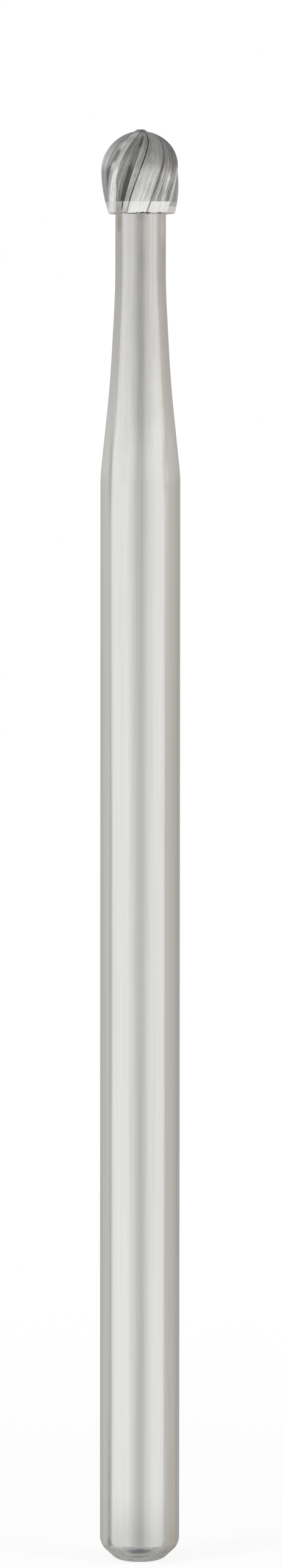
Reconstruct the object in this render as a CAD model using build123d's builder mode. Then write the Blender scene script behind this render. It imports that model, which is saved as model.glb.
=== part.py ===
from build123d import *
import os
from math import asin, cos, radians, sin, sqrt

# A brazed round burr for a straight handpiece, in millimetres and degrees.
# The origin is the centre of the shank's end and +Z runs up the axis to the tip.
# Two pieces: a steel shank, whose top is a fluted collar, and the carbide head on it.

# Shank, from its end up to the underside of the head
shank_dia = 2.35              # straight handpiece shank, gripped by the collet
shank_length = 32.10          # end face to the start of the taper
end_chamfer_width = 0.51      # how far the blunt end comes in from the shank's side
end_chamfer_height = 0.48
end_round = 0.50              # rounding on both corners of that end
taper_length = 2.73           # steeper cone, next to the shank
taper_top_dia = 1.782         # where the steeper cone meets the slimmer one
flare_length = 2.74           # slimmer cone, next to the neck
neck_length = 2.22            # straight neck
neck_dia = 1.485
shoulder_round = 5.0          # blend of shank and steeper cone
taper_round = 36.0            # blend of the two cones
flare_round = 22.0            # blend of the slimmer cone and the neck

# Head: half a ball above its widest circle, a gently drawn-in skirt below it
head_dia = 2.31
head_length = 2.47            # underside of the collar to the top of the crown
head_base_dia = 2.00          # over the cutting edges at the underside
collar_length = 0.345         # the part of the head's length that is steel
rim_chamfer = 0.03            # 45 degree break of the underside's rim
rim_round = 0.12              # rounding between that break and the underside
crown_dia = 0.40              # where the ball ends and the blades run up into the crown
crown_top_dia = 0.22          # small flat at the tip
crown_height = 0.064          # how far the crown stands above the end of the ball

# Flutes: each blade leads with a rake face and falls away behind on a flat back
blade_count = 9
flute_depth = 0.165           # at the widest circle
gullet_round = 0.045          # rounding at the foot of the rake face, at the widest circle
crown_root_share = 0.55       # root of the flutes on the crown, as a share of its edges
helix_rate = 16.7             # turn of the blades for each millimetre run along the head
edge_azimuth = 8.5            # one cutting edge at the underside, from the front toward +X
rake_lead_base = 1.5          # how far the foot of the rake face lies ahead of its edge
rake_lead_tip = 18.0
section_count = 17            # fluted sections from under the head to the end of the ball

# Worked out from the sizes above
shank_radius = shank_dia / 2
neck_radius = neck_dia / 2
head_radius = head_dia / 2
base_radius = head_base_dia / 2
crown_radius = crown_dia / 2
crown_top_radius = crown_top_dia / 2
taper_top_z = shank_length + taper_length
neck_z = taper_top_z + flare_length
base_z = neck_z + neck_length
joint_z = base_z + collar_length
tip_z = base_z + head_length
ball_height = sqrt(head_radius**2 - crown_radius**2)
crown_z = tip_z - crown_height
ball_z = crown_z - ball_height
skirt_length = ball_z - base_z
skirt_draw = head_radius - base_radius
skirt_arc = (skirt_length**2 + skirt_draw**2) / (2 * skirt_draw)
skirt_run = skirt_arc * asin(skirt_length / skirt_arc)
ball_run = skirt_run + head_radius * asin(ball_height / head_radius)
head_run = ball_run + sqrt(crown_height**2 + (crown_radius - crown_top_radius) ** 2)
pitch = 360 / blade_count


def edge_point(run):
    """Radius and height of the cutting edges a given length up from the underside.

    The skirt is one long arc and the ball a quarter circle; both are upright where
    they meet, at the widest circle. The crown is a straight slope on top of the ball.
    """
    if run < skirt_run:
        turn = (skirt_run - run) / skirt_arc
        return head_radius - skirt_arc * (1 - cos(turn)), ball_z - skirt_arc * sin(turn)
    if run > ball_run:
        climb = (run - ball_run) / (head_run - ball_run)
        radius = crown_radius + climb * (crown_top_radius - crown_radius)
        return radius, crown_z + climb * crown_height
    turn = (run - skirt_run) / head_radius
    return head_radius * cos(turn), ball_z + head_radius * sin(turn)


def root_radius(run):
    """Radius at the foot of the flutes, at the height of the cutting edges' point.

    On the skirt and on the crown it keeps its share of the edge radius. On the ball it
    follows one arc that leaves the widest circle upright and reaches the crown.
    """
    radius, height = edge_point(run)
    wide = head_radius - flute_depth
    if run < skirt_run:
        return radius * wide / head_radius
    if run > ball_run:
        return radius * crown_root_share
    narrow = crown_root_share * crown_radius
    shift = (narrow**2 + ball_height**2 - wide**2) / (2 * (wide - narrow))
    return sqrt((wide + shift) ** 2 - (height - ball_z) ** 2) - shift


def polar_point(radius, azimuth):
    """Point at an azimuth that starts at the front (-Y) and grows toward +X."""
    return (radius * sin(radians(azimuth)), -radius * cos(radians(azimuth)))


def fluted_section(run):
    """Toothed section a given length up the head, its gullets rounded in proportion."""
    radius, height = edge_point(run)
    lead = rake_lead_base + (rake_lead_tip - rake_lead_base) * run / head_run
    corners = []
    for blade in range(blade_count):
        azimuth = edge_azimuth + helix_rate * run + blade * pitch
        corners.append(polar_point(radius, azimuth))
        corners.append(polar_point(root_radius(run), azimuth + lead))
    with BuildSketch(Plane.XY.offset(height)) as section:
        with BuildLine():
            Polyline(*corners, close=True)
        make_face()
        roots = section.vertices().sort_by(SortBy.DISTANCE)[:blade_count]
        fillet(roots, gullet_round * radius / head_radius)
    return section.sketch


# The fluted form runs through both pieces: the flutes are ground after the head is brazed.
# Its first section lies below the underside, so that the rim is cut from full flutes.
first_run = -collar_length / 2
run_step = (ball_run - first_run) / (section_count - 1)
with BuildPart() as fluted_form:
    loft([fluted_section(first_run + step * run_step) for step in range(section_count)])
    loft([fluted_section(ball_run), fluted_section(head_run)], ruled=True)

# Carbide head: the fluted form above the brazed joint
with BuildPart() as carbide_head:
    add(fluted_form.part)
    split(bisect_by=Plane.XY.offset(joint_z), keep=Keep.TOP)
carbide_head.part.label = "carbide_head"

# Shank: the fluted form below the joint is its collar, cut off square with a rounded rim,
# and the turned bar carries it
with BuildPart() as shank:
    add(fluted_form.part)
    split(bisect_by=Plane.XY.offset(joint_z), keep=Keep.BOTTOM)
    with BuildSketch(Plane.XZ):
        with BuildLine():
            rim = FilletPolyline(
                (0, base_z),
                (base_radius - rim_chamfer, base_z),
                (base_radius - rim_chamfer + head_length, base_z + head_length),
                radius=rim_round,
            )
            Polyline(rim @ 1, (0, base_z + head_length), rim @ 0)
        make_face()
    revolve(axis=Axis.Z, mode=Mode.INTERSECT)
    with BuildSketch(Plane.XZ):
        with BuildLine():
            side = FilletPolyline(
                (0, 0),
                (shank_radius - end_chamfer_width, 0),
                (shank_radius, end_chamfer_height),
                (shank_radius, shank_length),
                (taper_top_dia / 2, taper_top_z),
                (neck_radius, neck_z),
                (neck_radius, base_z + collar_length / 2),
                radius=[end_round, end_round, shoulder_round, taper_round, flare_round],
            )
            Polyline(side @ 1, (0, base_z + collar_length / 2), side @ 0)
        make_face()
    revolve(axis=Axis.Z)
shank.part.label = "shank"

os.makedirs("parts", exist_ok=True)
export_step(carbide_head.part, "parts/carbide_head.step")
export_step(shank.part, "parts/shank.step")
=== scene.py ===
"""Looks of a brazed round carbide burr: a ground steel shank and its fluted carbide head.

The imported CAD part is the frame. Both of its nodes are stood for by finer surfaces of
the same form, because the flutes, their ground finish and the roundings need more rows
than a CAD mesh carries. Lengths are metres in Blender and millimetres in the formulas.
"""

import math
from types import SimpleNamespace

import bpy
import numpy as np
from bpy.props import FloatProperty, FloatVectorProperty, IntProperty, PointerProperty
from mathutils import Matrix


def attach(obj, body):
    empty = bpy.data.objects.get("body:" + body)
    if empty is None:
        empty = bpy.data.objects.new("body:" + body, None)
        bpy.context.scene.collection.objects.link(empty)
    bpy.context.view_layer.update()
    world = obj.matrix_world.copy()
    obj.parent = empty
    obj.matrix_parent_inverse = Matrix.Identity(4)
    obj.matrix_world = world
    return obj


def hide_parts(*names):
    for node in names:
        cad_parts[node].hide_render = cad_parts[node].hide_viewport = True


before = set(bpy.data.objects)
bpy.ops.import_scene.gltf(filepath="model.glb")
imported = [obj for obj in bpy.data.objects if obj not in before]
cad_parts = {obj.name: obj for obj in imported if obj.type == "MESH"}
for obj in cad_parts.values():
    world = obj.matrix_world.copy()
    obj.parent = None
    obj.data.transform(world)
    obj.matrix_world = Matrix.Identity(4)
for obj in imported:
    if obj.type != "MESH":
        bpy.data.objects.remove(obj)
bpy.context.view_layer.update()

bl_info = {
    "name": "Round carbide burr",
    "version": (1, 0, 0),
    "blender": (4, 5, 0),
    "location": "View3D > Sidebar > Burr",
    "description": "Makes a fluted round carbide burr on its steel shank, with its studio",
    "category": "Add Mesh",
}

MM = 0.001  # metres in a millimetre


# ---- Sizes and finishes that a user would change


def length(name, description, millimetres):
    """A length property, given in millimetres and kept in metres."""
    settings = {"default": millimetres * MM, "min": 0.0, "unit": "LENGTH", "precision": 5}
    return FloatProperty(name=name, description=description, **settings)


def angle(name, description, degrees):
    """An angle property, given in degrees and kept in radians."""
    settings = {"default": math.radians(degrees), "unit": "ROTATION"}
    return FloatProperty(name=name, description=description, **settings)


def colour(name, description, *default):
    """A colour property without alpha."""
    settings = {"default": default, "min": 0.0, "max": 1.0, "subtype": "COLOR"}
    return FloatVectorProperty(name=name, description=description, **settings)


def share(name, description, default):
    """A plain number between nought and one."""
    settings = {"default": default, "min": 0.0, "max": 1.0, "subtype": "FACTOR"}
    return FloatProperty(name=name, description=description, **settings)


class ShankSizes(bpy.types.PropertyGroup):
    """The turned bar, from its blunt end up to the neck."""

    dia: length("Shank", "Diameter that the handpiece grips", 2.35)
    straight: length("Straight length", "End face to the start of the taper", 32.10)
    chamfer_width: length("Chamfer width", "How far the blunt end comes in", 0.51)
    chamfer_height: length("Chamfer height", "Height of the blunt end's slope", 0.48)
    end_round: length("End rounding", "Rounding of the blunt end's corners", 0.50)
    taper_length: length("Taper", "Length of the steeper cone", 2.73)
    taper_top_dia: length("Taper top", "Diameter where the two cones meet", 1.782)
    flare_length: length("Flare", "Length of the slimmer cone", 2.74)
    neck_length: length("Neck length", "Length of the straight neck", 2.22)
    neck_dia: length("Neck", "Diameter of the straight neck", 1.485)
    shoulder_round: length("Shoulder", "Blend of shank and steeper cone", 5.0)
    taper_round: length("Taper blend", "Blend of the two cones", 36.0)
    flare_round: length("Neck blend", "Blend of the slimmer cone and neck", 22.0)


class HeadSizes(bpy.types.PropertyGroup):
    """The fluted form, which runs through the steel collar and the carbide."""

    dia: length("Head", "Diameter over the cutting edges at the widest circle", 2.31)
    height: length("Height", "Underside of the collar to the top of the crown", 2.47)
    base_dia: length("Base", "Diameter over the cutting edges at the underside", 2.00)
    collar: length("Collar", "Part of the height that is steel", 0.345)
    rim_chamfer: length("Rim chamfer", "45 degree break of the underside", 0.03)
    rim_round: length("Rim rounding", "Rounding between break and underside", 0.12)
    crown_dia: length("Crown", "Where the ball ends and the blades run up", 0.40)
    crown_top_dia: length("Crown top", "Small flat at the tip", 0.22)
    crown_height: length("Crown height", "How far it stands above the ball", 0.064)
    flute_depth: length("Flute depth", "Depth at the widest circle", 0.165)
    gullet_round: length("Gullet", "Rounding at the foot of the rake face", 0.045)
    crown_root: share("Crown root", "Root of the flutes as a share of the edges", 0.55)
    blades: IntProperty(name="Blades", description="Number of blades", default=9, min=3)
    helix: angle("Helix", "Turn of the blades for each millimetre of run", 16.7)
    azimuth: angle("First edge", "Place of one edge at the underside", 8.5)
    lead_base: angle("Lead at base", "How far the rake's foot lies ahead", 1.5)
    lead_tip: angle("Lead at tip", "How far the rake's foot lies ahead", 18.0)


class Finishes(bpy.types.PropertyGroup):
    """Colours of the two metals and of what heat and use leave on them."""

    steel: colour("Steel", "Ground shank", 0.78, 0.778, 0.757)
    neck: colour("Brazed steel", "Neck dulled by the brazing heat", 0.65, 0.641, 0.617)
    collar: colour("Collar", "Freshly ground steel under the carbide", 0.93, 0.93, 0.91)
    straw: colour("Straw", "Faint yellow oxide", 0.66, 0.61, 0.45)
    braze: colour("Braze", "Dark residue under the collar", 0.045, 0.035, 0.028)
    stain: colour("Stain", "Blue grey mark on the blunt end", 0.17, 0.17, 0.20)
    carbide: colour("Carbide", "Where a flute's grey is one", 1.0, 0.998, 0.985)
    carbide_dark: colour("Carbide, dark", "Where a flute's grey is nought", 0.0, 0.0, 0.0)


class StudioSizes(bpy.types.PropertyGroup):
    """Camera, floor and light."""

    distance: length("Distance", "Burr's axis to the camera", 200.0)
    height: length("Camera height", "Height of the camera above the floor", 34.0)
    aside: length("Camera aside", "Camera to the right of the axis", 0.016)
    tilt: angle("Tilt", "How far the camera looks down", 3.13888)
    roll: angle("Roll", "How far the burr leans to the right in the view", 0.047)
    lens: FloatProperty(
        name="Lens", description="For a 36 mm long side", default=155.95, unit="CAMERA"
    )
    floor: colour("Floor", "Pale floor", 0.9, 0.9, 0.9)
    ambient: share("Ambient", "Level of the light from all round", 0.55)


# ---- Surfaces


def burr_form():
    """Sizes in millimetres and degrees turned to radians, and what follows from them.

    The skirt below the widest circle is one long arc and the ball above it a quarter
    circle. A run is a length along the cutting edges up from the underside.
    """
    shank, head = bpy.context.scene.burr_shank, bpy.context.scene.burr_head
    form = SimpleNamespace()
    form.shank_radius = shank.dia / 2 / MM
    form.neck_radius = shank.neck_dia / 2 / MM
    form.shank_z = shank.straight / MM
    form.taper_z = form.shank_z + shank.taper_length / MM
    form.neck_z = form.taper_z + shank.flare_length / MM
    form.base_z = form.neck_z + shank.neck_length / MM
    form.joint_z = form.base_z + head.collar / MM
    form.tip_z = form.base_z + head.height / MM
    form.head_radius = head.dia / 2 / MM
    form.base_radius = head.base_dia / 2 / MM
    form.crown_radius = head.crown_dia / 2 / MM
    form.crown_top_radius = head.crown_top_dia / 2 / MM
    form.ball_height = math.sqrt(form.head_radius**2 - form.crown_radius**2)
    form.crown_z = form.tip_z - head.crown_height / MM
    form.ball_z = form.crown_z - form.ball_height
    skirt = form.ball_z - form.base_z
    draw = form.head_radius - form.base_radius
    form.skirt_arc = (skirt**2 + draw**2) / (2 * draw)
    form.skirt_run = form.skirt_arc * math.asin(skirt / form.skirt_arc)
    form.joint_run = skirt_run_at(form, form.joint_z)
    form.ball_run = form.skirt_run + form.head_radius * math.asin(
        form.ball_height / form.head_radius
    )
    form.head_run = form.ball_run + math.hypot(
        head.crown_height / MM, form.crown_radius - form.crown_top_radius
    )
    form.blades = head.blades
    form.pitch = 2 * math.pi / head.blades
    return form


def skirt_run_at(form, height):
    """Run of the cutting edges at a height on the skirt."""
    return form.skirt_run - form.skirt_arc * np.arcsin((form.ball_z - height) / form.skirt_arc)


def edge_line(form, run):
    """Radius and height of the cutting edges at each run.

    On the skirt: radius = head - arc (1 - cos turn), height = ball - arc sin turn, with
    turn = (skirt run - run) / arc. On the ball: radius = head cos turn, height = ball +
    head sin turn, with turn = (run - skirt run) / head. The crown is a straight slope.
    """
    low = (form.skirt_run - run) / form.skirt_arc
    high = (run - form.skirt_run) / form.head_radius
    skirt = run < form.skirt_run
    crown = run > form.ball_run
    climb = (run - form.ball_run) / (form.head_run - form.ball_run)
    skirt_radius = form.head_radius - form.skirt_arc * (1 - np.cos(low))
    skirt_height = form.ball_z - form.skirt_arc * np.sin(low)
    ball_radius = form.head_radius * np.cos(high)
    ball_height = form.ball_z + form.head_radius * np.sin(high)
    crown_radius = form.crown_radius + climb * (form.crown_top_radius - form.crown_radius)
    crown_height = form.crown_z + climb * (form.tip_z - form.crown_z)
    radius = np.select([skirt, crown], [skirt_radius, crown_radius], ball_radius)
    height = np.select([skirt, crown], [skirt_height, crown_height], ball_height)
    return radius, height


def root_line(form, run):
    """Radius at the foot of the flutes at each run.

    On the skirt and the crown it keeps its share of the edge radius. On the ball it is
    one arc that leaves the widest circle upright and reaches the crown: radius =
    sqrt((wide + shift)^2 - rise^2) - shift, with rise the height above the ball's centre.
    """
    sizes = bpy.context.scene.burr_head
    radius, height = edge_line(form, run)
    wide = form.head_radius - sizes.flute_depth / MM
    narrow = sizes.crown_root * form.crown_radius
    shift = (narrow**2 + form.ball_height**2 - wide**2) / (2 * (wide - narrow))
    rise = np.clip(height - form.ball_z, 0.0, form.ball_height)
    ball = np.sqrt((wide + shift) ** 2 - rise**2) - shift
    return np.select(
        [run < form.skirt_run, run > form.ball_run],
        [radius * wide / form.head_radius, radius * sizes.crown_root],
        ball,
    )


RAKE_STEPS, GULLET_STEPS, BACK_STEPS = 6, 6, 14  # columns of one tooth
RAKE_END, GULLET_END = 0.24, 0.34  # shares of a tooth's width in the flute coordinate
SKIRT_ROWS, BALL_ROWS, CROWN_ROWS = 34, 72, 5  # rows of the carbide head
COLLAR_ROWS, COLLAR_START = 16, 0.07  # rows of the collar above its rim, and the lowest
RIM_ROWS = (0.0, 0.002, 0.006, 0.012, 0.019, 0.027, 0.036, 0.05)  # heights on the rim
RIM_END = 0.045  # height where the rim's rounding meets the flutes
CORNER_STEPS = 9  # points on each rounded corner of the bar
CAP_RINGS = 4  # rings that close a flat end
SHARP_CORNER = math.radians(32)  # edges above this angle stay sharp in the shading


def steps(start, end, count):
    """Even steps from the start, without the end."""
    return np.linspace(start, end, count, endpoint=False)


def flute_columns(blades):
    """Flute coordinate of every column: whole numbers are cutting edges.

    It grows from an edge down its rake face, round the gullet and up the back of the
    next blade. One more value closes the circle.
    """
    rake = steps(0, RAKE_END, RAKE_STEPS)
    gullet = steps(RAKE_END, GULLET_END, GULLET_STEPS)
    back = steps(GULLET_END, 1, BACK_STEPS)
    tooth = np.concatenate([rake, gullet, back])
    around = (np.arange(blades)[:, None] + tooth).ravel()
    return np.append(around, blades)


def fluted_rows(form, run):
    """Points of the fluted form, one row for each run and one column round the teeth.

    In each row a straight rake face runs from the edge E to the foot V, and a straight
    back from V to the next edge N. The corner V is rounded by a circle of radius g:
    it touches both lines at g / tan(half angle) from V, and its centre lies at
    g / sin(half angle) on their bisector. Then the tooth is turned to each blade's place.
    """
    sizes = bpy.context.scene.burr_head
    radius, height = edge_line(form, run)
    progress = run / form.head_run
    lead = sizes.lead_base + (sizes.lead_tip - sizes.lead_base) * progress
    edge = radius.astype(complex)[:, None]
    foot = (root_line(form, run) * np.exp(1j * lead))[:, None]
    following = edge * np.exp(1j * form.pitch)
    to_edge = (edge - foot) / abs(edge - foot)
    to_next = (following - foot) / abs(following - foot)
    half = abs(np.angle(to_edge / to_next)) / 2
    rounding = (sizes.gullet_round / MM * radius / form.head_radius)[:, None]
    bisector = (to_edge + to_next) / abs(to_edge + to_next)
    centre = foot + bisector * rounding / np.sin(half)
    arc_start = foot + to_edge * rounding / np.tan(half)
    arc_end = foot + to_next * rounding / np.tan(half)
    sweep = np.angle((arc_end - centre) / (arc_start - centre))
    rake = edge + (arc_start - edge) * steps(0, 1, RAKE_STEPS)
    gullet = centre + (arc_start - centre) * np.exp(1j * sweep * steps(0, 1, GULLET_STEPS))
    back = arc_end + (following - arc_end) * steps(0, 1, BACK_STEPS)
    tooth = np.concatenate([rake, gullet, back], axis=1)
    blades = form.pitch * np.arange(form.blades)
    place = sizes.azimuth + sizes.helix * run[:, None] + blades
    around = (np.exp(1j * place)[:, :, None] * tooth[:, None, :]).reshape(len(run), -1)
    return grid_points(around, height)


def grid_points(around, height):
    """Points from a complex number radius e^(i azimuth) and a height.

    Azimuth starts at the front (-Y) and grows toward +X: x = imaginary, y = -real.
    """
    tall = np.broadcast_to(np.reshape(height, (-1, 1)), around.shape)
    return np.stack([around.imag, -around.real, tall], axis=-1)


def rounded_profile(corners, radii):
    """Points (radius, height) along a line of straight runs with rounded corners.

    Each inner corner gets an arc that touches both runs at r / tan(half angle) from it.
    """
    corners = np.array(corners, float)
    points = [corners[:1]]
    for before, corner, after, radius in zip(corners, corners[1:], corners[2:], radii):
        back = (before - corner) / np.linalg.norm(before - corner)
        ahead = (after - corner) / np.linalg.norm(after - corner)
        bisector = (back + ahead) / np.linalg.norm(back + ahead)
        half = math.acos(np.dot(back, ahead)) / 2
        centre = corner + bisector * radius / math.sin(half)
        start = corner + back * radius / math.tan(half) - centre
        end = corner + ahead * radius / math.tan(half) - centre
        sweep = math.pi - 2 * half
        part = np.linspace(0, 1, CORNER_STEPS)[:, None]
        arc = np.sin((1 - part) * sweep) * start + np.sin(part * sweep) * end
        points.append(centre + arc / math.sin(sweep))
    points.append(corners[-1:])
    return np.concatenate(points)


def flat_rings(ring):
    """Rings that shrink toward the axis at a ring's own height, from the outer one in."""
    shrink = steps(1, 0, CAP_RINGS + 1)[1:, None, None]
    return ring * (1, 1, 0) * shrink + ring * (0, 0, 1)


def collar_rows(form):
    """Runs and points of the collar, held inside the rounded rim near the underside.

    The rim is an arc that starts level on the underside: its radius at a height is
    start + sqrt(round^2 - (round - height)^2), and no point lies outside that.
    """
    sizes = bpy.context.scene.burr_head
    rise = np.append(RIM_ROWS, np.linspace(COLLAR_START, sizes.collar / MM, COLLAR_ROWS))
    runs = skirt_run_at(form, form.base_z + rise)
    rows = fluted_rows(form, runs)
    rim_round = sizes.rim_round / MM
    rim_start = form.base_radius - sizes.rim_chamfer / MM - rim_round * math.tan(math.pi / 8)
    below = np.clip(rim_round - rise, 0, None)
    limit = rim_start + np.sqrt(rim_round**2 - below**2)
    limit = np.where(rise < RIM_END, limit, np.inf)[:, None, None]
    radius = np.linalg.norm(rows[..., :2], axis=-1, keepdims=True)
    rows[..., :2] *= np.minimum(1.0, limit / radius)
    return runs, rows


def bar_rows(form, azimuth):
    """Points of the turned bar: its profile carried round at the given azimuths."""
    sizes = bpy.context.scene.burr_shank
    corners = [
        (0.0, 0.0),
        (form.shank_radius - sizes.chamfer_width / MM, 0.0),
        (form.shank_radius, sizes.chamfer_height / MM),
        (form.shank_radius, form.shank_z),
        (sizes.taper_top_dia / 2 / MM, form.taper_z),
        (form.neck_radius, form.neck_z),
        (form.neck_radius, form.base_z),
    ]
    blends = (sizes.shoulder_round, sizes.taper_round, sizes.flare_round)
    radii = [value / MM for value in (sizes.end_round, sizes.end_round, *blends)]
    profile = rounded_profile(corners, radii)[1:]
    # Rings of the underside, as shares of its radius up to just inside the corner
    underside = profile[0] * np.linspace(0.25, 0.999, CAP_RINGS)[:, None] * (1, 0)
    profile = np.concatenate([underside, profile])
    return grid_points(profile[:, :1] * np.exp(1j * azimuth), profile[:, 1])


def closed_surface(name, rows, runs, start, end, across):
    """Mesh of a grid that wraps round and is shut by one point below and one above.

    rows holds row x column x 3 in millimetres. Each face corner gets the attribute
    "flute": flute coordinate, run along the head and nothing.
    """
    count, columns = rows.shape[:2]
    vertices = np.concatenate([rows.reshape(-1, 3), [start, end]]) * MM
    column = np.arange(columns)
    following = (column + 1) % columns
    first = (np.arange(count - 1) * columns)[:, None]
    above = first + columns
    quads = [first + column, first + following, above + following, above + column]
    quads = np.stack(quads, axis=-1)
    start_point = np.full(columns, count * columns)
    last = (count - 1) * columns
    start_fan = np.stack([start_point, following, column], axis=-1)
    end_fan = np.stack([last + column, last + following, start_point + 1], axis=-1)
    indices = np.concatenate([quads.ravel(), start_fan.ravel(), end_fan.ravel()])
    sides = np.concatenate([np.full((count - 1) * columns, 4), np.full(2 * columns, 3)])
    left, right = across[:-1], across[1:]
    turn = np.broadcast_to(np.stack([left, right, right, left], axis=-1), quads.shape)
    along = np.stack([runs[:-1], runs[:-1], runs[1:], runs[1:]], axis=-1)[:, None]
    along = np.broadcast_to(along, quads.shape)
    fan_turn = np.stack([left, right, left], axis=-1).ravel()
    fan_runs = np.repeat([runs[0], runs[-1]], 3 * columns)
    corner_flute = np.zeros((len(indices), 3))
    corner_flute[:, 0] = np.concatenate([turn.ravel(), fan_turn, fan_turn])
    corner_flute[:, 1] = np.concatenate([along.ravel(), fan_runs])
    mesh = bpy.data.meshes.new(name)
    mesh.vertices.add(len(vertices))
    mesh.vertices.foreach_set("co", vertices.astype(np.float32).ravel())
    mesh.loops.add(len(indices))
    mesh.loops.foreach_set("vertex_index", indices.astype(np.int32))
    mesh.polygons.add(len(sides))
    mesh.polygons.foreach_set("loop_start", (np.cumsum(sides) - sides).astype(np.int32))
    mesh.update(calc_edges=True)
    flute = mesh.attributes.new("flute", "FLOAT_VECTOR", "CORNER")
    flute.data.foreach_set("vector", corner_flute.astype(np.float32).ravel())
    if mesh.validate(clean_customdata=False):
        raise RuntimeError(f"{name}: the surface had faulty faces")
    mesh.polygons.foreach_set("use_smooth", np.ones(len(sides), bool))
    mesh.set_sharp_from_angle(angle=SHARP_CORNER)
    return mesh


def add_object(name, data):
    """A new object in the scene."""
    thing = bpy.data.objects.new(name, data)
    bpy.context.scene.collection.objects.link(thing)
    return thing


def add_piece(mesh, node, material):
    """Adds the object that stands for a CAD node, in its place, with its material."""
    piece = add_object(mesh.name, mesh)
    mesh.materials.append(material)
    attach(piece, "root")
    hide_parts(node)


# ---- Shader expressions


class Wire:
    """One output socket. Arithmetic on it and its methods add nodes to its tree."""

    def __init__(self, shader, socket):
        self.shader = shader
        self.socket = socket

    def maths(self, operation, *terms):
        """Result of a Math node."""
        inputs = dict(enumerate(terms))
        return self.shader.node("Math", {"operation": operation}, inputs)

    def __add__(self, other):
        return self.maths("ADD", self, other)

    def __sub__(self, other):
        return self.maths("SUBTRACT", self, other)

    def __rsub__(self, other):
        return self.maths("SUBTRACT", other, self)

    def __mul__(self, other):
        return self.maths("MULTIPLY", self, other)

    def __truediv__(self, other):
        return self.maths("DIVIDE", self, other)

    __radd__ = __add__
    __rmul__ = __mul__

    def magnitude(self):
        """The value without its sign."""
        return self.maths("ABSOLUTE", self)

    def swing(self, amount):
        """A noise made to swing about nought, over the given amount."""
        return (self - 0.5) * amount

    def step(self, low, high, start=0.0, end=1.0):
        """Smooth step of the value from start at low to end at high."""
        names = ("Value", "From Min", "From Max", "To Min", "To Max")
        inputs = dict(zip(names, (self, low, high, start, end)))
        settings = {"interpolation_type": "SMOOTHSTEP"}
        return self.shader.node("MapRange", settings, inputs)

    def near(self, middle, inner, outer, inside=1.0, outside=0.0):
        """Inside up to an inner distance from a middle, outside beyond an outer one."""
        return (self - middle).magnitude().step(inner, outer, inside, outside)

    def between(self, low_from, low_to, high_from, high_to):
        """One between two soft limits, and nought below and above them."""
        return self.step(low_from, low_to) * self.step(high_from, high_to, 1.0, 0.0)

    def blend(self, first, second):
        """Number between two numbers, by this factor."""
        return first + (second - first) * self

    def mix(self, first, second):
        """Colour between two colours, by this factor."""
        inputs = {0: self, 6: opaque(first), 7: opaque(second)}
        return self.shader.node("Mix", {"data_type": "RGBA"}, inputs, 2)

    def vector_maths(self, operation, other=(0, 0, 0), output=0):
        """Result of a Vector Math node."""
        settings = {"operation": operation}
        return self.shader.node("VectorMath", settings, {0: self, 1: other}, output)

    def scaled(self, *scales):
        """The vector with each part scaled by itself."""
        return self.vector_maths("MULTIPLY", scales)

    def distance(self):
        """Length of the vector."""
        return self.vector_maths("LENGTH", output="Value")

    def noise(self, scale, detail=2.0, roughness=0.5):
        """Noise of about a half on average; the scale is one for all axes or three."""
        vector = self
        if isinstance(scale, tuple):
            vector, scale = self.scaled(*scale), 1.0
        inputs = {"Vector": vector, "Scale": scale, "Detail": detail, "Roughness": roughness}
        return self.shader.node("TexNoise", {}, inputs)

    def spot(self, centre, radii):
        """One at a centre and nought on and outside an ellipsoid round it."""
        away = self.vector_maths("SUBTRACT", centre)
        return away.scaled(*(1 / radius for radius in radii)).distance().step(0.0, 1.0, 1.0, 0.0)

    def spots(self, *marks):
        """Sum of spots, each given by its centre, its radii and its strength."""
        return sum(self.spot(*place) * strength for *place, strength in marks)

    def parts(self, kind="SeparateXYZ"):
        """The three parts of a vector, or with the other kind of a colour."""
        outputs = self.shader.place(kind, {}, {0: self}).outputs
        return [Wire(self.shader, socket) for socket in outputs]


class Shader:
    """A material or world tree, and the nodes that are added to it."""

    def __init__(self, owner):
        owner.use_nodes = True
        self.tree = owner.node_tree
        self.tree.nodes.clear()

    def place(self, kind, settings, inputs):
        """Adds a node: its settings first, then the values or links of its sockets. A
        ramp has the settings "stops", (position, colour) pairs, and "interpolation"."""
        node = self.tree.nodes.new("ShaderNode" + kind)
        for name, value in settings.items():
            if name == "stops":
                elements = node.color_ramp.elements
                for _ in range(len(value) - len(elements)):
                    elements.new(1.0)
                for element, (position, shade) in zip(elements, value):
                    element.position = position
                    element.color = opaque(shade)
            elif name == "interpolation":
                node.color_ramp.interpolation = value
            else:
                setattr(node, name, value)
        for name, value in inputs.items():
            if isinstance(value, Wire):
                self.tree.links.new(value.socket, node.inputs[name])
            else:
                node.inputs[name].default_value = value
        return node

    def node(self, kind, settings=None, inputs=None, output=0):
        """One output of a new node."""
        return Wire(self, self.place(kind, settings or {}, inputs or {}).outputs[output])

    def millimetres(self):
        """Object coordinates in millimetres."""
        return self.node("TexCoord", output="Object").scaled(*(1 / MM,) * 3)

    def surface(self, shader, kind="OutputMaterial"):
        """Makes a shader the tree's surface."""
        self.place(kind, {}, {"Surface": shader})


def coats(base, *layers):
    """Colours laid over a base one after another, each as its factor and colour."""
    for factor, shade in layers:
        base = factor.mix(base, shade)
    return base


def opaque(shade):
    """A colour with alpha, and any link as it is."""
    return shade if isinstance(shade, Wire) else (*shade[:3], 1.0)


def metal(shader, base, roughness, height, depth):
    """Bare metal with a bump given by a height and its depth in millimetres."""
    inputs = {"Strength": 1.0, "Distance": depth * MM, "Height": height}
    bump = shader.node("Bump", {}, inputs)
    inputs = {"Base Color": base, "Metallic": 1.0, "Roughness": roughness, "Normal": bump}
    return shader.node("BsdfPrincipled", {}, inputs)


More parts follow.
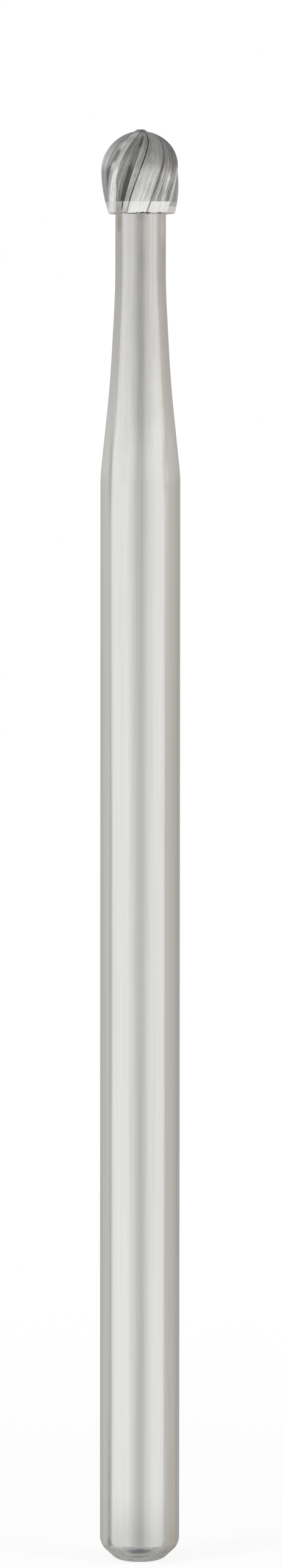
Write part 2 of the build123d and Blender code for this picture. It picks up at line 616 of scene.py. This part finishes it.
def places(shader, form):
    """Where a point lies: in millimetres, in rise above the collar's underside, and in
    turn, the flute coordinate, with its part within one tooth."""
    on = SimpleNamespace(point=shader.millimetres())
    on.x, on.y, on.z = on.point.parts()
    on.rise = on.z - form.base_z
    on.flute = shader.node("Attribute", {"attribute_name": "flute"}, output="Vector")
    on.turn = on.flute.parts()[0]
    on.tooth = on.turn.maths("FRACT", on.turn)
    return on


def gullet_shade(on):
    """One at the foot of the rake faces, where the gullets are: the mask of their painted shade.
    """
    return on.tooth.between(0.255, 0.285, 0.345, 0.385)


STREAK_AND_SHADE_GREY = (0.45, 0.44, 0.42)  # drawn streaks, and painted shade on the sides
BURNT = (0.38, 0.365, 0.345)  # steel that the grinding burnt; the same grey darkens the collar's left side


def steel_wires(shader, form):
    """Places, noises and zones that the steel's finishes share. A zone is one inside:
    brazed on the dulled neck, end on the blunt end, collar on the fluted collar, and
    smeared on the one flute where carbide runs over the joint."""
    on = places(shader, form)
    on.past_shank = on.z - form.shank_z
    on.streaks = on.point.noise((9.0, 9.0, 0.10), 3.0)
    on.fine = on.point.noise((34.0, 34.0, 0.35))
    on.cloud = on.point.noise((0.9, 0.9, 0.35), 3.0)
    on.grain = on.point.noise(60.0)
    on.mottle = on.point.noise(5.0, 4.0)
    on.cut = on.flute.noise((26.0, 0.9, 1.0), 3.0, 0.6)
    on.pits = on.point.noise(14.0, 4.0, 0.7).step(0.60, 0.70)
    on.brazed = (on.z + on.cloud.swing(2.0)).step(form.shank_z - 0.5, form.neck_z + 1.2)
    on.end = (on.z + on.y * 0.09 + on.mottle.swing(0.08)).step(0.42, 0.47, 1.0, 0.0)
    on.collar = on.rise.step(0.01, 0.05)
    on.smeared = on.turn.between(0.99, 1.0, 1.99, 2.0)
    return on


def bar_finish(on):
    """Shank, cones and neck: drawn streaks, a painted highlight over the shoulder, painted
    shade on the sides, a straw tint, and darker sides near the blunt end."""
    finish = bpy.context.scene.burr_finish
    drawn = (on.streaks + on.fine.swing(0.5)).step(0.30, 0.80)
    # painted highlight: a white patch on the front of the shoulder and taper
    bright = on.past_shank.between(-0.25, 0.0, 0.40, 2.10)
    bright = bright * on.x.magnitude().step(0.15, 0.55, 0.42, 0.0)
    # painted shade: darker sides of the taper, and of the neck and the shank on the left
    side_shade = on.point.spots(
        ((-0.87, -0.79, 32.20), (0.10, 0.40, 1.90), 0.45),
        ((0.72, -0.93, 32.60), (0.13, 0.40, 1.40), 0.60),
    )
    side_shade = side_shade + on.brazed * on.x.step(-0.62, -0.46, 0.30, 0.0)
    side = on.x.near(-0.843, 0.02, 0.065) * on.y.step(-0.2, 0.1, 1.0, 0.0)
    side_shade = side_shade + side * on.z.step(20.0, 31.0, 0.50, 0.10)
    straw = on.point.spots(
        ((0.96, -0.66, 0.76), (0.21, 0.45, 0.50), 0.55),
        ((0.94, -0.70, 2.20), (0.20, 0.40, 2.20), 0.30),
    )
    # darker near the blunt end, most toward both sides
    end_sides_dark = (on.z + on.cloud.swing(0.8)).step(0.45, 2.3, 0.42, 0.0)
    # darker along the left side near the blunt end
    left_end_dark = on.point.spots(
        ((-0.90, -0.74, 0.80), (0.11, 0.40, 6.50), 0.40),
        ((-0.91, -0.74, 0.62), (0.13, 0.30, 0.24), 0.60),
    )
    return coats(
        finish.steel,
        (on.brazed, finish.neck),
        (drawn * (0.16 + on.brazed * 0.14), STREAK_AND_SHADE_GREY),
        (bright, (1.0, 1.0, 1.0)),
        (side_shade, STREAK_AND_SHADE_GREY),
        (straw * on.streaks.step(0.25, 0.60, 0.6, 1.2), finish.straw),
        (end_sides_dark * on.x.magnitude().step(0.70, 0.95, 1.0, 0.3), (0.42, 0.42, 0.41)),
        (left_end_dark * (on.mottle + 0.2), (0.24, 0.24, 0.235)),
    )


def end_finish(on):
    """Blunt end: dull, pitted, with a blue grey mark in front."""
    stain = bpy.context.scene.burr_finish.stain
    mark = on.point.spots(
        ((-0.04, -1.02, 0.42), (0.56, 0.45, 0.17), 1.0),
        ((-0.02, -0.90, 0.22), (0.50, 0.40, 0.07), 0.5),
    )
    mark = (mark + on.mottle.swing(1.3) + on.grain.swing(0.5)).step(0.05, 0.80)
    return coats(
        (0.48, 0.48, 0.465),
        (on.mottle.step(0.3, 0.7), (0.63, 0.63, 0.61)),
        (on.pits * 0.6, stain),
        (mark * 0.85, stain),
    )


def collar_finish(on, form):
    """Collar: bright grinding parallel to the flutes, one flute burnt, a darker left side, a
    nick, a smear of carbide below the joint, painted shade in the gullets and a painted
    highlight on one edge."""
    burnt = on.turn.between(7.36, 7.62, 7.94, 7.98) * on.cut * 1.3
    left_side_dark = (on.x + on.mottle.swing(0.12)).step(-0.97, -0.90, 0.55, 0.0)
    nick = (on.turn - 7.90).magnitude() + on.mottle.swing(0.09)
    nick = nick.step(0.015, 0.050, 1.0, 0.0)
    nick = nick * (on.rise + on.mottle.swing(0.14)).step(0.07, 0.16)
    smear = on.smeared * on.z.step(form.joint_z - 0.130, form.joint_z - 0.123)
    # painted shade: dark lines in the gullets, weaker on one flute
    line = gullet_shade(on) * on.turn.near(7.3, 0.2, 0.3, 0.15, 1.0)
    line = line * (on.rise + on.mottle * 0.1).step(0.01, 0.14, 0.45, 1.0)
    return coats(
        bpy.context.scene.burr_finish.collar,
        (on.cut.step(0.42, 0.75, 0.0, 0.8), (0.70, 0.695, 0.675)),
        (burnt, BURNT),
        (left_side_dark, BURNT),
        (nick * 0.9, (0.06, 0.055, 0.05)),
        (smear * 0.8, (0.62, 0.615, 0.61)),
        (line * 0.62, (0.13, 0.125, 0.12)),
        # painted highlight along one cutting edge
        (on.turn.near(8.985, 0.006, 0.016), (1.0, 1.0, 0.995)),
    )


def brazing_marks(on, base):
    """Heat tints on the neck, and a torn line of dark residue under the collar."""
    brown = on.point.spots(
        ((-0.66, -0.78, 39.90), (0.40, 0.60, 0.30), 0.6),
        ((-0.63, -0.40, 39.52), (0.17, 0.40, 0.50), 1.1),
        ((0.70, -0.25, 38.70), (0.10, 0.40, 0.80), 0.4),
    )
    brown = (brown + on.mottle.swing(0.7)).step(0.15, 1.0)
    straw = on.point.spot((0.66, -0.34, 39.40), (0.16, 0.40, 0.75))
    bluish = on.point.spots(
        ((0.02, -0.75, 39.70), (0.30, 0.40, 0.19), 0.8),
        ((0.05, -0.75, 38.40), (0.22, 0.40, 0.85), 0.7),
    )
    torn = on.point.noise(11.0, 3.0, 0.6)
    wander = on.cloud.swing(0.03) + torn.swing(0.075) + on.x * 0.008
    seam = (on.rise - wander).near(0.006, 0.014, 0.024)
    front = on.point.spot((0.12, -1.00, 39.80), (0.95, 0.75, 0.50))
    gaps = on.point.noise(5.5, 3.0).step(0.42, 0.52, 0.25, 1.0)
    seam = seam * front.step(0.0, 0.4) * gaps
    return coats(
        base,
        (brown * 0.55, (0.36, 0.31, 0.26)),
        (straw * 0.7, (0.86, 0.81, 0.74)),
        (bluish * 0.45, (0.40, 0.41, 0.44)),
        (seam * 0.92, bpy.context.scene.burr_finish.braze),
    )


def steel_material(form):
    """Ground steel of the whole shank, from the blunt end up to the collar."""
    material = bpy.data.materials.new("ground_steel")
    shader = Shader(material)
    on = steel_wires(shader, form)
    base = coats(
        bar_finish(on),
        (on.end, end_finish(on)),
        (on.collar, collar_finish(on, form)),
    )
    roughness = 0.11  # of the shank; each zone has its own
    for zone, level in (
        (on.brazed, 0.15),
        (on.fine * 0.5, 0.20),
        (on.end, 0.55),
        (on.collar, 0.34),
        (on.collar * on.smeared, 0.65),
    ):
        roughness = zone.blend(roughness, level)
    ripple = on.past_shank.step(-1.1, 3.9) * on.cloud * 1.2
    lay = on.streaks * 0.6 + on.fine * 0.12 + ripple
    dents = on.mottle * 3.0 - on.pits * 1.5 + on.grain * 0.3
    height = lay * (1.0 - on.end) * (1.0 - on.collar)
    height = height + dents * on.end * 1.6 + on.cut * on.collar * 3.0
    base = brazing_marks(on, base)
    shader.surface(metal(shader, base, roughness, height, 0.004))
    return material


# Flutes from the first edge toward +X: grey of the back and of the rake face, strength
# of the dark band along the next edge, and grey of the back on the ball. The greys are
# partly each flute's own grind and partly painted reflection; the dark band and the
# darker ball are painted shade
FLUTE_TONES = (
    (0.57, 0.56, 0.10, 0.40),
    (0.66, 0.66, 0.15, 0.46),
    (0.48, 0.62, 0.50, 0.42),
    (0.58, 0.50, 0.30, 0.46),
    (0.42, 0.80, 0.80, 0.44),
    (0.52, 0.60, 0.40, 0.42),
    (0.44, 0.85, 0.80, 0.70),
    (0.36, 1.00, 0.84, 0.49),
    (0.77, 0.66, 0.00, 0.59),
)
# Middles of the flutes that differ, in the flute coordinate
LOW_BALL = 0.4  # the ball, rougher and painted darker as shade, reaches lower here
BRIGHT_RAKE = 7.2  # the rake face has a painted highlight that runs on up the back
SHADED_SKIRT = 6.54  # the skirt is painted darker, as shade
DARKEST_GULLET = 8.35  # the gullet's painted shade is darkest
# Painted shade along an edge: flute coordinate, height and half length in millimetres
SHADED_EDGES = ((7.90, 41.88, 0.26), (7.03, 41.46, 0.30))


def carbide_wires(shader, form):
    """Places, noises and zones that the carbide's finishes share. A zone is one inside:
    ball above the widest circle, burnished on the flute with a painted rake highlight."""
    on = places(shader, form)
    on.cloud = on.point.noise(3.2, 4.0, 0.6)
    on.grain = on.point.noise(24.0, 3.0, 0.75)
    on.broad = on.flute.noise((5.0, 0.45, 1.0), 3.0, 0.6)
    on.bands = on.flute.noise((12.0, 0.40, 1.0))
    on.cut = on.flute.noise((24.0, 0.9, 1.0), 4.0, 0.75)
    on.hair = on.flute.noise((70.0, 2.6, 1.0))
    ragged = on.z + on.broad.swing(0.45) + on.cut.swing(0.40)
    ragged = ragged + on.turn.near(LOW_BALL, 0.35, 0.55, 0.09)
    on.ball = ragged.step(form.ball_z - 0.06, form.ball_z + 0.20)
    on.burnished = on.turn.near(BRIGHT_RAKE, 0.3, 0.5)
    return on


def by_flute(on, form, shades):
    """Three numbers that change from flute to flute."""
    stops = [(flute / form.blades, shade) for flute, shade in enumerate(shades)]
    settings = {"interpolation": "CONSTANT", "stops": stops}
    place = on.turn / form.blades
    ramp = place.shader.node("ValToRGB", settings, {0: place})
    return ramp.parts("SeparateColor")


def flute_grey(on, form):
    """Grey of the rake faces and backs, partly painted reflection, with a dark band of
    painted shade along the next edge.
    """
    back, rake, band = by_flute(on, form, [tone[:3] for tone in FLUTE_TONES])
    dull, _, _ = by_flute(on, form, [tone[3:] * 3 for tone in FLUTE_TONES])
    # painted shade: the ball takes its darker grey, and the rake faces darken on it
    back = on.ball.blend(back, dull)
    # the painted highlight of the bright rake reaches up the back of its blade
    reach = on.burnished * on.rise.step(0.51, 1.16, 0.19, 0.03)
    on_rake = (on.tooth + on.cloud.swing(0.04) - reach).step(0.25, 0.30, 1.0, 0.0)
    # painted shade: a dark band on each back along the next edge
    near_edge = (on.tooth + on.broad.swing(0.25)).step(0.55, 0.80)
    near_edge = near_edge * (on.rise + on.cut.swing(0.5)).step(1.21, 1.91, 1.0, 0.35)
    back = back * (1.0 - band * near_edge * 0.72)
    return on_rake.blend(back, rake * (1.0 - on.ball * 0.30))


def ground_streaks(on, grey):
    """Factor for streaks along the flutes, stronger on darker ones, clouds and grain."""
    streaks = on.cut.swing(1.0) + on.hair.swing(0.5) + on.broad.swing(0.4)
    bands = on.bands.step(0.40, 0.66, -0.17, 0.17)
    streaks = streaks + bands * (1.0 - on.ball * 0.5)
    streaks = streaks * on.turn.step(1.5, 1.9, 1.7, 1.0)
    return 0.97 + streaks * (1.55 - grey * 1.05) + on.cloud.swing(0.45) + on.grain.swing(0.55)


def gullet_shade_and_glints(on, grey):
    """Grey with painted shade, as dark gullet lines, their shade up the back on the ball and
    one flute's darker skirt, and with painted highlights along the edges."""
    # painted shade: dark lines in the gullets
    line = gullet_shade(on) * on.broad.step(0.28, 0.46, 0.35, 1.0)
    line = line * on.turn.near(DARKEST_GULLET, 0.3, 0.5, 1.3, 0.60)
    line = line * (1.0 - on.burnished * 0.7)
    shade = on.tooth.between(0.25, 0.30, 0.30, 0.55)
    grey = grey * (1.0 - line * (0.60 + on.ball * 0.05)) * (1.0 - shade * on.ball * 0.22)
    skirt = 1.0 - on.ball
    # painted highlights along the cutting edges
    edge_glint = on.tooth.step(0.970, 0.988) + on.tooth.step(0.006, 0.018, 1.0, 0.0)
    grey = grey + edge_glint * (on.cut - 0.2) * 0.18 * skirt
    # painted shade on one flute's skirt
    return grey * (1.0 - on.turn.near(SHADED_SKIRT, 0.53, 0.59, 0.50) * skirt)


def carbide_marks(on):
    """Factor for painted highlights, painted shade in spots and along two edges, and specks."""
    # painted highlights
    highlight_spots = on.point.spots(
        ((-0.66, -0.62, 41.84), (0.40, 0.50, 0.30), 1.0),
        ((0.90, -0.72, 40.82), (0.22, 0.45, 0.34), 0.7),
        ((-0.10, -0.50, 42.10), (0.60, 0.60, 0.26), 0.7),
    )
    highlight_spots = (highlight_spots + on.cut.swing(0.5)).step(0.15, 0.80, 0.0, 0.36)
    # painted shade in spots and along two edges
    shade_spots = on.point.spots(
        ((0.71, -0.36, 41.92), (0.12, 0.25, 0.14), 0.6),
        ((-0.15, -1.14, 40.86), (0.06, 0.20, 0.10), 1.2),
        ((-0.04, -1.12, 41.10), (0.06, 0.20, 0.10), 1.0),
        ((-0.34, -1.08, 41.12), (0.10, 0.20, 0.16), 0.5),
        ((-0.97, -0.62, 41.14), (0.17, 0.40, 0.14), 0.8),
        ((-0.54, -0.95, 40.20), (0.06, 0.20, 0.14), 0.9),
    )
    for edge, height, half in SHADED_EDGES:
        along = on.turn.near(edge, 0.04, 0.11, 0.75)
        shade_spots = shade_spots + along * on.z.near(height, 0.08, half)
    shade_spots = (shade_spots + on.cloud.swing(0.5)).step(0.10, 0.75, 0.0, 0.55)
    specks = on.point.noise(15.0, 2.0, 0.6).step(0.66, 0.76, 0.0, 0.40)
    return (1.0 + highlight_spots) * (1.0 - shade_spots) * (1.0 - specks)


def carbide_material(form):
    """Ground carbide of the head, rougher on the ball than on the skirt, where it is also
    painted darker as shade.
    """
    finish = bpy.context.scene.burr_finish
    material = bpy.data.materials.new("ground_carbide")
    shader = Shader(material)
    on = carbide_wires(shader, form)
    grey = flute_grey(on, form)
    grey = grey * ground_streaks(on, grey)
    grey = gullet_shade_and_glints(on, grey) * carbide_marks(on)
    base = grey.mix(finish.carbide_dark, finish.carbide)
    roughness = 0.20 + on.cut * 0.12 + on.grain * 0.06 + on.ball * 0.06
    height = on.cut * 1.1 + on.broad * 0.9 + on.hair * 0.3 + on.grain * 0.4
    shader.surface(metal(shader, base, roughness, height, 0.010))
    return material


# ---- Operators


class BURR_OT_carbide_head(bpy.types.Operator):
    """Makes the carbide head, from the brazed joint up to the crown"""

    bl_idname = "burr.carbide_head"
    bl_label = "Carbide head"

    def execute(self, context):
        form = burr_form()
        skirt = steps(form.joint_run, form.skirt_run, SKIRT_ROWS)
        ball = steps(form.skirt_run, form.ball_run, BALL_ROWS)
        crown = np.linspace(form.ball_run, form.head_run, CROWN_ROWS)
        runs = np.concatenate([skirt, ball, crown])
        side = fluted_rows(form, runs)
        mesh = closed_surface(
            "carbide_head_visual",
            np.concatenate([flat_rings(side[0])[::-1], side, flat_rings(side[-1])]),
            np.pad(runs, CAP_RINGS, mode="edge"),
            (0, 0, form.joint_z),
            (0, 0, form.tip_z),
            flute_columns(form.blades),
        )
        add_piece(mesh, "carbide_head", carbide_material(form))
        return {"FINISHED"}


class BURR_OT_shank(bpy.types.Operator):
    """Makes the steel shank with its blunt end, tapers, neck and fluted collar"""

    bl_idname = "burr.shank"
    bl_label = "Shank"

    def execute(self, context):
        form = burr_form()
        runs, collar = collar_rows(form)
        bar = bar_rows(form, np.arctan2(collar[0, :, 0], -collar[0, :, 1]))
        mesh = closed_surface(
            "shank_visual",
            np.concatenate([bar, collar, flat_rings(collar[-1])]),
            np.concatenate([np.zeros(len(bar)), np.pad(runs, (0, CAP_RINGS), mode="edge")]),
            (0, 0, 0),
            (0, 0, form.joint_z),
            flute_columns(form.blades),
        )
        add_piece(mesh, "shank", steel_material(form))
        return {"FINISHED"}


# Sizes of the studio in millimetres, where nothing else is said
STAGE_COLUMNS = 96  # columns of the floor and the tent
TENT_ROWS = 48
TENT_RADIUS = 800.0
WALL_BLEND = (-30.0, 110.0)  # heights where the walls go from low to high level
ROOF_BLEND = (250.0, 600.0)  # heights where the walls go over into the roof
ROOF_GREY = 0.42
FLOOR_RADIUS = 1500.0
FLOOR_RINGS = 24
FLOOR_THICKNESS = 1.0
SHADOW_REACH = (10.0, 60.0)  # distances where the floor goes over into white
NEAR_FLOOR_GLOW = 0.86  # share of white that the floor shows under the burr
LONG_SIDE = 36.0  # of the camera's sensor
LAMP_SIZE = 0.30  # diameter in metres
LAMPS = (  # name, place in metres, power in watts
    ("lamp_left", (-0.35, -0.30, 0.45), 1.6),
    ("lamp_right", (0.40, -0.25, 0.40), 1.1),
)
WHITE = (1.0, 1.0, 1.0, 1.0)
BLACK = (0.0, 0.0, 0.0, 1.0)
# Walls of the tent: azimuth from the camera in degrees, grey level low and high, warmth
STUDIO_WALLS = (
    (-180, 0.46, 0.46, 0.03),
    (-150, 0.53, 0.70, 0.03),
    (-112, 0.66, 0.72, 0.02),
    (-95, 0.62, 0.70, 0.02),
    (-91, 0.96, 0.96, -0.004),
    (-76, 0.98, 1.00, -0.004),
    (-60, 0.99, 0.95, -0.004),
    (-38, 1.00, 0.89, -0.004),
    (-18, 0.81, 0.70, 0.00),
    (-8, 0.67, 0.54, 0.00),
    (6, 0.62, 0.53, 0.00),
    (10, 0.67, 0.56, 0.00),
    (18, 0.80, 0.73, 0.00),
    (32, 0.92, 0.82, 0.00),
    (46, 0.96, 0.98, 0.005),
    (60, 0.96, 1.00, 0.005),
    (73, 0.94, 1.00, 0.005),
    (76, 0.65, 0.98, 0.03),
    (84, 0.64, 0.92, 0.05),
    (90, 0.63, 0.70, 0.08),
    (118, 0.57, 0.64, 0.10),
    (138, 0.46, 0.60, 0.08),
    (180, 0.46, 0.46, 0.03),
)


def wall_light(turn, level):
    """Light of the tent's walls, at the low (0) or the high level (1): red is the grey,
    green is grey (1 - 0.4 warmth), blue is grey (1 - warmth)."""
    stops = []
    for azimuth, *greys, warmth in STUDIO_WALLS:
        shade = [greys[level] * (1 - warmth * loss) for loss in (0, 0.4, 1)]
        stops.append((azimuth / 360 + 0.5, shade))
    return turn.shader.node("ValToRGB", {"stops": stops}, {0: turn})


class BURR_OT_studio(bpy.types.Operator):
    """Makes the pale floor, the light tent, the lamps and the camera"""

    bl_idname = "burr.studio"
    bl_label = "Studio"

    def execute(self, context):
        studio = context.scene.burr_studio
        self.add_floor(studio)
        self.add_tent()
        self.add_lamps()
        self.set_world(studio)
        self.add_camera(studio)
        context.scene.view_settings.view_transform = "Standard"
        return {"FINISHED"}

    def add_stage(self, name, radii, heights, ends, material):
        """A round stage surface from its rings, which isn't part of the burr."""
        around = radii[:, None] * np.exp(1j * steps(0, 2 * np.pi, STAGE_COLUMNS))
        rows = grid_points(around, heights)
        start, end = ((0, 0, height) for height in ends)
        across = np.arange(STAGE_COLUMNS + 1.0)
        mesh = closed_surface(name, rows, np.zeros(len(rows)), start, end, across)
        mesh.materials.append(material)
        thing = add_object(name, mesh)
        return thing

    def add_floor(self, studio):
        """A thin round slab of level rings, which goes over into white to the camera
        away from the burr, so that only the shadow at the blunt end stays."""
        material = bpy.data.materials.new("pale_floor")
        shader = Shader(material)
        inputs = {"Base Color": opaque(studio.floor), "Roughness": 0.9, "Specular IOR Level": 0.1}
        plain = shader.node("BsdfPrincipled", {}, inputs)
        glow = shader.node("Emission", {}, {"Color": WHITE, "Strength": 1.0})
        seen = shader.node("LightPath", output="Is Camera Ray")
        far = shader.millimetres().distance().step(*SHADOW_REACH, NEAR_FLOOR_GLOW, 1.0)
        inputs = {0: seen * far, 1: plain, 2: glow}
        shader.surface(shader.node("MixShader", {}, inputs))
        radii = np.append(FLOOR_RADIUS, np.geomspace(FLOOR_RADIUS, 1, FLOOR_RINGS))
        heights = np.append(-FLOOR_THICKNESS, np.zeros(FLOOR_RINGS))
        floor = self.add_stage("floor", radii, heights, (-FLOOR_THICKNESS, 0), material)
        floor.visible_glossy = False

    def add_tent(self):
        """A tent all round, which only the metal's reflections see: bright panels left
        and right, a greyer gap at the camera, grey curtains behind and a dimmer roof."""
        material = bpy.data.materials.new("light_tent")
        shader = Shader(material)
        x, y, z = shader.millimetres().parts()
        turn = x.maths("ARCTAN2", x, y * -1.0) / (2 * math.pi) + 0.5
        low, high = (wall_light(turn, level) for level in (0, 1))
        roof = (ROOF_GREY,) * 3
        light = coats(low, (z.step(*WALL_BLEND), high), (z.step(*ROOF_BLEND), roof))
        inputs = {"Base Color": BLACK, "Roughness": 1.0, "Specular IOR Level": 0.0}
        inputs |= {"Emission Color": light, "Emission Strength": 1.0}
        shader.surface(shader.node("BsdfPrincipled", {}, inputs))
        material.cycles.emission_sampling = "NONE"
        rise = np.linspace(-np.pi / 2, np.pi / 2, TENT_ROWS + 2)[1:-1]
        radii, heights = TENT_RADIUS * np.cos(rise), TENT_RADIUS * np.sin(rise)
        ends = (-TENT_RADIUS, TENT_RADIUS)
        tent = self.add_stage("light_tent", radii, heights, ends, material)
        for ray in ("camera", "diffuse", "transmission", "shadow"):
            setattr(tent, f"visible_{ray}", False)

    def add_lamps(self):
        """Two soft lamps, left and right in front, aimed at the blunt end."""
        for name, place, power in LAMPS:
            lamp = bpy.data.lights.new(name, "AREA")
            lamp.shape = "DISK"
            lamp.size = LAMP_SIZE
            lamp.energy = power
            thing = add_object(name, lamp)
            thing.location = place
            thing.rotation_euler = (-thing.location).to_track_quat("-Z", "Y").to_euler()
            thing.visible_glossy = False

    def set_world(self, studio):
        """White to the camera and in gloss, a plain level of light otherwise."""
        world = bpy.data.worlds.new("studio_world")
        bpy.context.scene.world = world
        shader = Shader(world)
        camera, gloss, through = (
            shader.node("LightPath", output=name)
            for name in ("Is Camera Ray", "Is Glossy Ray", "Is Transmission Ray")
        )
        seen = camera.maths("MAXIMUM", camera, camera.maths("MAXIMUM", gloss, through))
        ambient, white = (
            shader.node("Background", {}, {"Color": WHITE, "Strength": strength})
            for strength in (studio.ambient, 1.0)
        )
        both = shader.node("MixShader", {}, {0: seen, 1: ambient, 2: white})
        shader.surface(both, "OutputWorld")

    def add_camera(self, studio):
        """A long lens near the top of the burr, looking slightly down the shank."""
        data = bpy.data.cameras.new("camera")
        data.lens = studio.lens
        data.sensor_width = LONG_SIDE
        data.sensor_fit = "AUTO"
        data.clip_start, data.clip_end = 0.01, 10.0
        camera = add_object("camera", data)
        camera.location = (studio.aside, -studio.distance, studio.height)
        camera.rotation_euler = (math.pi / 2 - studio.tilt, -studio.roll, 0.0)
        bpy.context.scene.camera = camera


class BURR_PT_panel(bpy.types.Panel):
    """Lists the burr's pieces and its studio"""

    bl_label = "Round carbide burr"
    bl_idname = "BURR_PT_panel"
    bl_space_type = "VIEW_3D"
    bl_region_type = "UI"
    bl_category = "Burr"

    def draw(self, context):
        for group in GROUPS:
            box = self.layout.box()
            settings = getattr(context.scene, group)
            for name in settings.__annotations__:
                box.prop(settings, name)
        for operator in OPERATORS:
            self.layout.operator(operator.bl_idname)


GROUPS = {
    "burr_shank": ShankSizes,
    "burr_head": HeadSizes,
    "burr_finish": Finishes,
    "burr_studio": StudioSizes,
}
OPERATORS = (BURR_OT_shank, BURR_OT_carbide_head, BURR_OT_studio)


def register():
    for name, group in GROUPS.items():
        bpy.utils.register_class(group)
        setattr(bpy.types.Scene, name, PointerProperty(type=group))
    for thing in (*OPERATORS, BURR_PT_panel):
        bpy.utils.register_class(thing)


def unregister():
    for thing in (BURR_PT_panel, *reversed(OPERATORS)):
        bpy.utils.unregister_class(thing)
    for name, group in reversed(GROUPS.items()):
        delattr(bpy.types.Scene, name)
        bpy.utils.unregister_class(group)


def main():
    """Makes the burr and its studio."""
    register()
    bpy.ops.burr.shank()
    bpy.ops.burr.carbide_head()
    bpy.ops.burr.studio()


if __name__ == "__main__":
    main()
